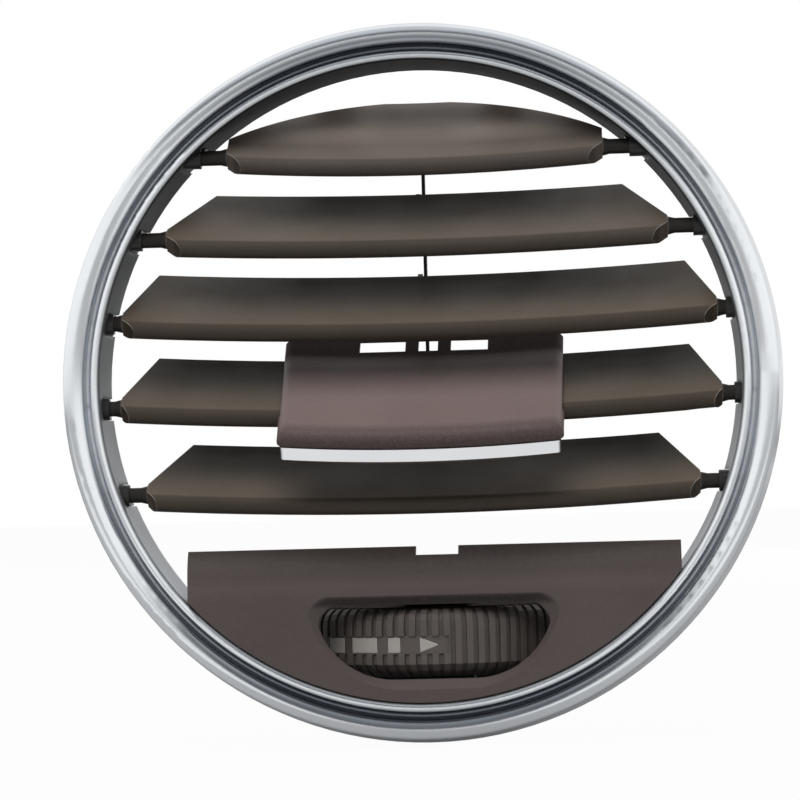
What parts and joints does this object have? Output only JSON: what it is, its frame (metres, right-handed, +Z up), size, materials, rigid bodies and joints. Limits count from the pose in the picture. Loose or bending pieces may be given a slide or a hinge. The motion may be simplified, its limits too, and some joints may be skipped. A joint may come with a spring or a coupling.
{
  "type": "dashboard air vent grille",
  "caption": "Round dashboard air vent grille: plated ring with linked tilting slats, a sliding steering tab and a ribbed airflow thumbwheel in a lower panel.",
  "frame": {"origin": "on the ring's axis, in the plane of the rear seat that bears on the dashboard", "axes": "-Y towards the driver (the front), +Y into the dashboard along the ring axis, +Z up, +X to the right as the driver sees it"},
  "size_m": [0.106, 0.038, 0.106],
  "materials": {
    "satin_chrome": "satin plated",
    "bright_trim": "bright plated",
    "black_plastic": "moulded",
    "slat_plastic": "fine grain",
    "tab_plastic": "satin",
    "panel_plastic": "fine grain",
    "wheel_rubber": "ribbed soft-touch",
    "soft_rubber": "matt",
    "steel": "zinc plated"
  },
  "bodies": {
    "frame": {"chrome_ring": "satin_chrome", "carrier_ring": "black_plastic", "slat_bushes": "black_plastic", "lower_panel": "panel_plastic", "wheel_axle": "steel", "wheel_bracket": "black_plastic", "wheel_washer": "steel", "ring_screws": "steel", "panel_screws": "steel", "bracket_screws": "steel"},
    "slat_4_body": {"slat_4": "slat_plastic"},
    "slat_1_body": {"slat_1": "slat_plastic"},
    "slat_2_body": {"slat_2": "slat_plastic"},
    "slat_3_body": {"slat_3": "slat_plastic"},
    "slat_5_body": {"slat_5": "slat_plastic"},
    "link_body": {"link_bar": "black_plastic"},
    "tab_body": {"tab_cover": "tab_plastic", "tab_trim": "bright_trim", "tab_base": "slat_plastic", "tab_pad": "soft_rubber"},
    "wheel_body": {"thumbwheel": "wheel_rubber"}
  },
  "joints": [
    {"name": "slat_4_tilt", "type": "hinge", "parent": "frame", "child": "slat_4_body", "pos_m": [0, -0.0086, -0.00282], "axis": [1, 0, 0], "range_deg": [-57, 3]},
    {"name": "slat_1_tilt", "type": "hinge", "parent": "frame", "child": "slat_1_body", "pos_m": [0, -0.0086, 0.0335], "axis": [1, 0, 0], "range_deg": [-57, 3]},
    {"name": "slat_2_tilt", "type": "hinge", "parent": "frame", "child": "slat_2_body", "pos_m": [0, -0.0086, 0.0217], "axis": [1, 0, 0], "range_deg": [-57, 3]},
    {"name": "slat_3_tilt", "type": "hinge", "parent": "frame", "child": "slat_3_body", "pos_m": [0, -0.0086, 0.00959], "axis": [1, 0, 0], "range_deg": [-57, 3]},
    {"name": "slat_5_tilt", "type": "hinge", "parent": "frame", "child": "slat_5_body", "pos_m": [0, -0.0086, -0.01555], "axis": [1, 0, 0], "range_deg": [-57, 3]},
    {"name": "link_pivot", "type": "hinge", "parent": "slat_4_body", "child": "link_body", "pos_m": [0, 0.01128, 0.00311], "axis": [1, 0, 0], "range_deg": [-3, 57]},
    {"name": "tab_slide", "type": "slide", "parent": "slat_4_body", "child": "tab_body", "axis": [1, 0, 0], "range_m": [-0.01, 0.01]},
    {"name": "wheel_turn", "type": "hinge", "parent": "frame", "child": "wheel_body", "pos_m": [0.0013, 0.0106, -0.03795], "axis": [0, 0, 1], "range_deg": [-25, 25]}
  ],
  "couplings": [
    {"joint": "slat_1_tilt", "follows": "slat_4_tilt", "ratio": 1},
    {"joint": "slat_2_tilt", "follows": "slat_4_tilt", "ratio": 1},
    {"joint": "slat_3_tilt", "follows": "slat_4_tilt", "ratio": 1},
    {"joint": "slat_5_tilt", "follows": "slat_4_tilt", "ratio": 1},
    {"joint": "link_pivot", "follows": "slat_4_tilt", "ratio": -1}
  ]
}
